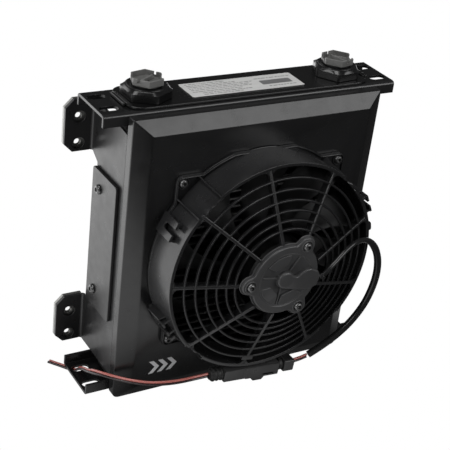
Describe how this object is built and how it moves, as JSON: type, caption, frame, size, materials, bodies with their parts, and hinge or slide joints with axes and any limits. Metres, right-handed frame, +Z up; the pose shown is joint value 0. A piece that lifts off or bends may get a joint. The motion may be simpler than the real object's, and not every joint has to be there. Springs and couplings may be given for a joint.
{
  "type": "hydraulic oil cooler",
  "caption": "Black plate oil cooler with plugged top ports, folded mounting ears and channels, and a guarded axial fan on a sloped sheet shroud, with its wiring.",
  "frame": {"origin": "on the surface that the cooler stands on, under the middle of its overall width and depth (free wires and their connector left out)", "axes": "+X to the right seen from the fan side, +Y from the fan to the rear of the core, +Z up towards the ports"},
  "size_m": [0.299, 0.147, 0.2915],
  "materials": {
    "coated_sheet": "semi-gloss black powder coat on folded steel sheet",
    "coated_aluminium": "semi-gloss black coat on brazed aluminium",
    "motor_paint": "black painted drawn steel",
    "fan_plastic": "moulded black glass-filled nylon",
    "connector_plastic": "moulded black nylon",
    "grey_cap": "dull grey moulded plastic",
    "rubber": "matt black rubber",
    "zinc_plate": "zinc plated",
    "dark_screw": "dark zinc",
    "steel": "ground steel",
    "dark_ceramic": "sintered ferrite or carbon",
    "copper": "copper winding and segments",
    "sleeve": "satin black sleeve",
    "red_wire": "red insulated wire",
    "black_wire": "black insulated wire",
    "label": "satin foil label without text"
  },
  "bodies": {
    "cooler": {"bottom_channel": "coated_aluminium", "brush_holder": "connector_plastic", "connector_plug": "connector_plastic", "connector_ring": "rubber", "connector_seal": "rubber", "connector_socket": "connector_plastic", "core_base_plate": "coated_aluminium", "core_matrix": "coated_aluminium", "core_top_plate": "coated_aluminium", "fan_frame": "fan_plastic", "fan_screw_1": "dark_screw", "fan_screw_2": "dark_screw", "fan_screw_3": "dark_screw", "fan_screw_4": "dark_screw", "fan_shroud": "coated_sheet", "front_bearing": "steel", "guard_grille": "fan_plastic", "lead_sleeve": "sleeve", "lead_wire_black": "black_wire", "lead_wire_red": "red_wire", "left_brush": "dark_ceramic", "left_cover_panel": "coated_sheet", "left_header": "coated_aluminium", "left_lower_nut_plate": "zinc_plate", "left_magnet": "dark_ceramic", "left_panel_screw_lower": "dark_screw", "left_panel_screw_upper": "dark_screw", "left_plug_seal": "rubber", "left_port_boss": "coated_aluminium", "left_port_plug": "grey_cap", "left_side_plate": "coated_sheet", "left_upper_nut_plate": "zinc_plate", "motor_can": "motor_paint", "motor_end_cap": "motor_paint", "motor_screw_1": "dark_screw", "motor_screw_2": "dark_screw", "motor_screw_3": "dark_screw", "rating_label": "label", "rear_bearing": "steel", "right_brush": "dark_ceramic", "right_cover_panel": "coated_sheet", "right_header": "coated_aluminium", "right_lower_nut_plate": "zinc_plate", "right_magnet": "dark_ceramic", "right_panel_screw_lower": "dark_screw", "right_panel_screw_upper": "dark_screw", "right_plug_seal": "rubber", "right_port_boss": "coated_aluminium", "right_port_plug": "grey_cap", "right_side_plate": "coated_sheet", "right_upper_nut_plate": "zinc_plate", "supply_wire_black": "black_wire", "supply_wire_red": "red_wire", "top_channel": "coated_aluminium"},
    "fan_rotor": {"impeller": "fan_plastic", "impeller_clip": "dark_screw", "motor_shaft": "steel", "armature": "copper", "commutator": "copper"}
  },
  "joints": [
    {"name": "fan_spin", "type": "hinge", "parent": "cooler", "child": "fan_rotor", "pos_m": [0, -0.0356, 0.1366], "axis": [0, 1, 0], "continuous": true}
  ]
}
